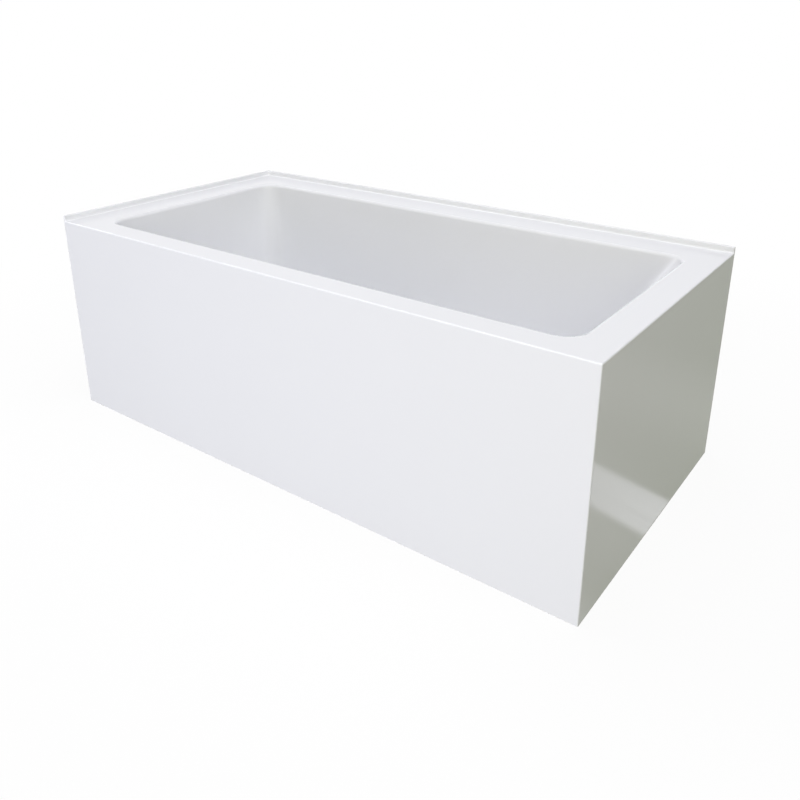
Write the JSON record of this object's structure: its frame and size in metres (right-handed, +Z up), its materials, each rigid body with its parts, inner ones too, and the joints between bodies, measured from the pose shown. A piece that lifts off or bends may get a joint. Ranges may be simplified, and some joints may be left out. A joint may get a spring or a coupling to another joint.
{
  "type": "corner bathtub",
  "caption": "Rectangular corner bathtub with tile flange on the left and back edges, aprons on the front and right end, reclined backrest and a pop-up waste turned by an overflow knob.",
  "frame": {"origin": "on the floor, in the middle of the footprint over aprons and tile flange", "axes": "+X along the tub towards the apron end and backrest, +Y towards the back wall, +Z up"},
  "size_m": [1.524, 0.762, 0.5484],
  "materials": {
    "acrylic": "gloss",
    "laminate": "rough sprayed laminate",
    "board": "sanded plywood",
    "timber": "sawn and planed softwood",
    "galvanised": "hot-dip galvanised",
    "zinc": "bright zinc plated",
    "foot_plastic": "moulded, fine texture",
    "waste_plastic": "moulded, half gloss",
    "seal_rubber": "matt",
    "chrome": "polished",
    "brass": "machined",
    "cable_sheath": "extruded"
  },
  "bodies": {
    "tub": {"tub_shell": "acrylic", "front_apron": "acrylic", "end_apron": "acrylic", "fibreglass_backing": "laminate", "floor_board": "board", "front_gussets": "board", "end_gusset": "board", "front_deck_batten": "timber", "end_deck_batten": "timber", "left_deck_batten": "timber", "back_deck_batten": "timber", "corner_post": "timber", "front_left_post": "timber", "end_back_post": "timber", "front_sole_rail": "timber", "end_sole_rail": "timber", "apron_brackets": "galvanised", "left_bearer": "galvanised", "right_bearer": "galvanised", "bracket_screws": "zinc", "bearer_screws": "zinc", "weld_nuts": "zinc", "lock_nuts": "zinc", "drain_shoe": "waste_plastic", "waste_tube": "waste_plastic", "waste_tee": "waste_plastic", "riser_tube": "waste_plastic", "slip_nuts": "waste_plastic", "overflow_body": "waste_plastic", "drain_flange_seal": "seal_rubber", "shoe_gasket": "seal_rubber", "slip_washers": "seal_rubber", "overflow_gasket": "seal_rubber", "drain_flange": "chrome", "overflow_clamp_ring": "chrome", "lever_pin": "brass", "lift_cable": "cable_sheath"},
    "front_left_foot": {"front_left_foot_stud": "zinc", "front_left_foot_pad": "foot_plastic"},
    "back_left_foot": {"back_left_foot_stud": "zinc", "back_left_foot_pad": "foot_plastic"},
    "front_right_foot": {"front_right_foot_stud": "zinc", "front_right_foot_pad": "foot_plastic"},
    "back_right_foot": {"back_right_foot_stud": "zinc", "back_right_foot_pad": "foot_plastic"},
    "knob": {"overflow_knob": "chrome", "knob_spindle": "brass"},
    "stopper": {"stopper_cap": "chrome", "stopper_seal": "seal_rubber", "stopper_stem": "brass"},
    "lever": {"lift_lever": "brass"}
  },
  "joints": [
    {"name": "front_left_foot_screw", "type": "slide", "parent": "tub", "child": "front_left_foot", "axis": [0, 0, 1], "range_m": [-0.006, 0.01]},
    {"name": "back_left_foot_screw", "type": "slide", "parent": "tub", "child": "back_left_foot", "axis": [0, 0, 1], "range_m": [-0.006, 0.01]},
    {"name": "front_right_foot_screw", "type": "slide", "parent": "tub", "child": "front_right_foot", "axis": [0, 0, 1], "range_m": [-0.006, 0.01]},
    {"name": "back_right_foot_screw", "type": "slide", "parent": "tub", "child": "back_right_foot", "axis": [0, 0, 1], "range_m": [-0.006, 0.01]},
    {"name": "knob_turn", "type": "hinge", "parent": "tub", "child": "knob", "pos_m": [-0.41874, -0.30555, 0.4484], "axis": [0, 0.9976, 0.0698], "range_deg": [0, 90]},
    {"name": "stopper_lift", "type": "slide", "parent": "tub", "child": "stopper", "axis": [0, 0, 1], "range_m": [0, 0.0093]},
    {"name": "lever_swing", "type": "hinge", "parent": "tub", "child": "lever", "pos_m": [-0.41874, -0.00225, 0.071], "axis": [-1, 0, 0], "range_deg": [0, 36.1]}
  ],
  "couplings": [
    {"joint": "stopper_lift", "follows": "knob_turn", "m_per_rad": 0.0059018},
    {"joint": "lever_swing", "follows": "knob_turn", "ratio": 0.4}
  ]
}
